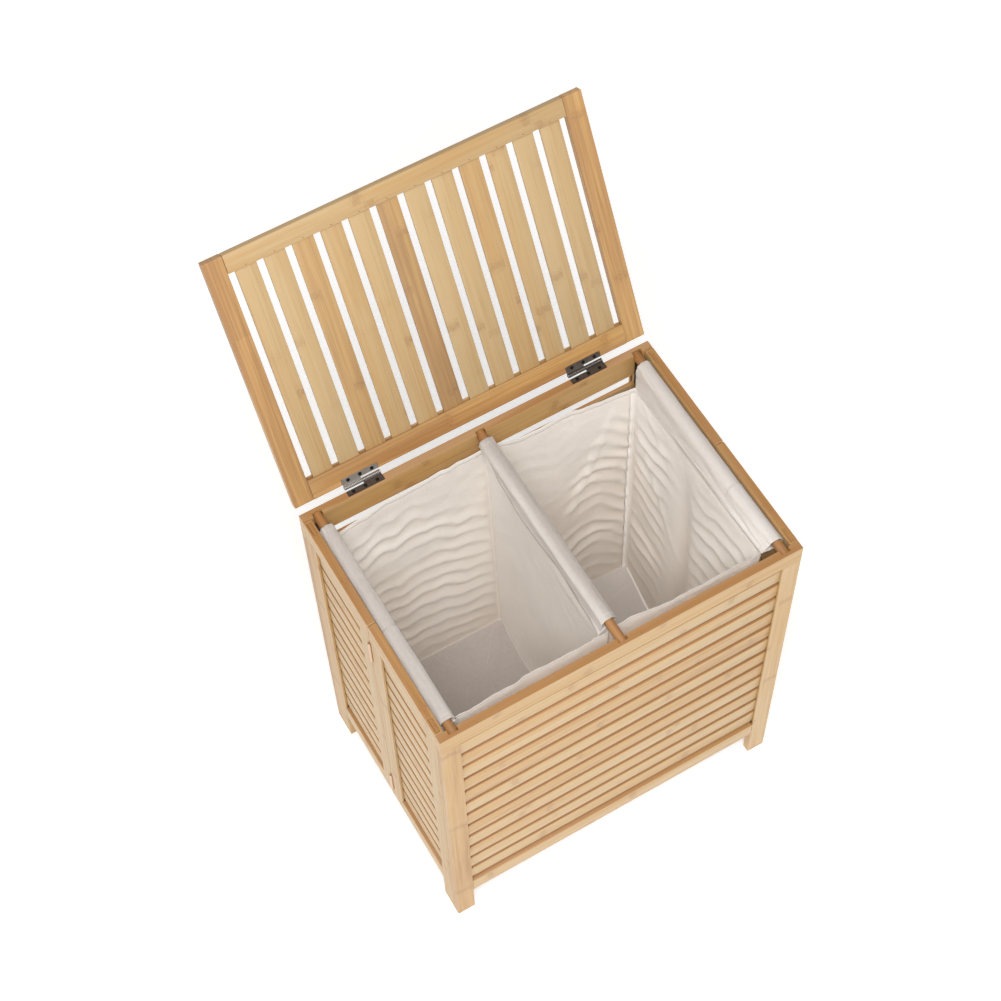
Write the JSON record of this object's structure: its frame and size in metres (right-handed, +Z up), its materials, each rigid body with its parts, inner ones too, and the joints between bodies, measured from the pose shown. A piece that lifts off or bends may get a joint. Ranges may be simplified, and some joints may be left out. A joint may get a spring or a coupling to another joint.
{
  "type": "laundry hamper",
  "caption": "Slatted bamboo laundry hamper on short legs with a hinged lid that stands open, sides that fold inwards, and a cloth liner with bins side by side that hangs from round rods.",
  "frame": {"origin": "on the floor, under the middle of the bounding box of the standing hamper with its lid open", "axes": "+X to the hamper's right, +Y to its back where the lid is hinged, +Z up"},
  "size_m": [0.526, 0.551, 0.9226],
  "materials": {
    "pale_bamboo": "pale bamboo strips with a thin satin lacquer",
    "warm_bamboo": "warmer bamboo strips with a thin satin lacquer",
    "rod_wood": "turned round rod, satin",
    "liner_cloth": "thin off-white plain weave, matt",
    "dark_metal": "dark antique plating on small steel hinges",
    "bright_metal": "dull nickel plating on small steel hinges"
  },
  "bodies": {
    "back_frame": {"back_left_leg": "pale_bamboo", "back_right_leg": "pale_bamboo", "back_top_rail": "warm_bamboo", "back_slats_and_bottom_rail": "pale_bamboo", "left_rear_corner_hinge_upper_frame_leaf": "dark_metal", "left_rear_corner_hinge_lower_frame_leaf": "dark_metal", "right_rear_corner_hinge_upper_frame_leaf": "dark_metal", "right_rear_corner_hinge_lower_frame_leaf": "dark_metal", "left_lid_hinge_box_leaf": "dark_metal", "right_lid_hinge_box_leaf": "dark_metal"},
    "lid": {"lid_left_stile": "warm_bamboo", "lid_right_stile": "warm_bamboo", "lid_rear_rail": "warm_bamboo", "lid_slats_and_front_rail": "warm_bamboo", "left_lid_hinge_lid_leaf": "dark_metal", "right_lid_hinge_lid_leaf": "dark_metal"},
    "left_rear_panel": {"left_rear_seam_stile": "pale_bamboo", "left_rear_outer_stile": "pale_bamboo", "left_rear_top_rail": "warm_bamboo", "left_rear_slats_and_bottom_rail": "pale_bamboo", "left_rear_corner_hinge_upper_panel_leaf": "dark_metal", "left_rear_corner_hinge_lower_panel_leaf": "dark_metal", "left_seam_hinge_upper_rear_leaf": "bright_metal", "left_seam_hinge_lower_rear_leaf": "bright_metal"},
    "left_front_panel": {"left_front_seam_stile": "pale_bamboo", "left_front_outer_stile": "pale_bamboo", "left_front_top_rail": "warm_bamboo", "left_front_slats_and_bottom_rail": "pale_bamboo", "left_front_corner_hinge_upper_panel_leaf": "dark_metal", "left_front_corner_hinge_lower_panel_leaf": "dark_metal", "left_seam_hinge_upper_front_leaf": "bright_metal", "left_seam_hinge_lower_front_leaf": "bright_metal"},
    "right_rear_panel": {"right_rear_seam_stile": "pale_bamboo", "right_rear_outer_stile": "pale_bamboo", "right_rear_top_rail": "warm_bamboo", "right_rear_slats_and_bottom_rail": "pale_bamboo", "right_rear_corner_hinge_upper_panel_leaf": "dark_metal", "right_rear_corner_hinge_lower_panel_leaf": "dark_metal", "right_seam_hinge_upper_rear_leaf": "bright_metal", "right_seam_hinge_lower_rear_leaf": "bright_metal"},
    "right_front_panel": {"right_front_seam_stile": "pale_bamboo", "right_front_outer_stile": "pale_bamboo", "right_front_top_rail": "warm_bamboo", "right_front_slats_and_bottom_rail": "pale_bamboo", "right_front_corner_hinge_upper_panel_leaf": "dark_metal", "right_front_corner_hinge_lower_panel_leaf": "dark_metal", "right_seam_hinge_upper_front_leaf": "bright_metal", "right_seam_hinge_lower_front_leaf": "bright_metal"},
    "front_frame": {"front_left_leg": "pale_bamboo", "front_right_leg": "pale_bamboo", "front_top_rail": "pale_bamboo", "front_slats_and_bottom_rail": "pale_bamboo", "left_front_corner_hinge_upper_frame_leaf": "dark_metal", "left_front_corner_hinge_lower_frame_leaf": "dark_metal", "right_front_corner_hinge_upper_frame_leaf": "dark_metal", "right_front_corner_hinge_lower_frame_leaf": "dark_metal"},
    "liner_and_rods": {"left_rod": "rod_wood", "centre_rod": "rod_wood", "right_rod": "rod_wood", "liner": "liner_cloth"}
  },
  "joints": [
    {"name": "lid_hinge", "type": "hinge", "parent": "back_frame", "child": "lid", "pos_m": [0, 0.09348, 0.6006], "axis": [1, 0, 0], "range_deg": [0, 118]},
    {"name": "side_fold", "type": "hinge", "parent": "back_frame", "child": "left_rear_panel", "pos_m": [-0.2457, 0.07418, 0], "axis": [0, 0, 1], "range_deg": [0, 88], "deforming": ["liner"]},
    {"name": "left_seam", "type": "hinge", "parent": "left_rear_panel", "child": "left_front_panel", "pos_m": [-0.2608, -0.09352, 0], "axis": [0, 0, -1], "range_deg": [0, 176]},
    {"name": "left_front_corner", "type": "hinge", "parent": "left_front_panel", "child": "front_frame", "pos_m": [-0.2457, -0.26122, 0], "axis": [0, 0, 1], "range_deg": [0, 88]},
    {"name": "right_rear_corner", "type": "hinge", "parent": "back_frame", "child": "right_rear_panel", "pos_m": [0.2457, 0.07418, 0], "axis": [0, 0, -1], "range_deg": [0, 88]},
    {"name": "right_seam", "type": "hinge", "parent": "right_rear_panel", "child": "right_front_panel", "pos_m": [0.2608, -0.09352, 0], "axis": [0, 0, 1], "range_deg": [0, 176]},
    {"name": "liner_lift", "type": "slide", "parent": "back_frame", "child": "liner_and_rods", "axis": [0, 0, 1], "range_m": [0, 0.7]}
  ],
  "couplings": [
    {"joint": "left_seam", "follows": "side_fold", "ratio": 2},
    {"joint": "left_front_corner", "follows": "side_fold", "ratio": 1},
    {"joint": "right_rear_corner", "follows": "side_fold", "ratio": 1},
    {"joint": "right_seam", "follows": "side_fold", "ratio": 2},
    {"joint": "liner_lift", "follows": "side_fold", "m_per_rad": 0.45}
  ]
}
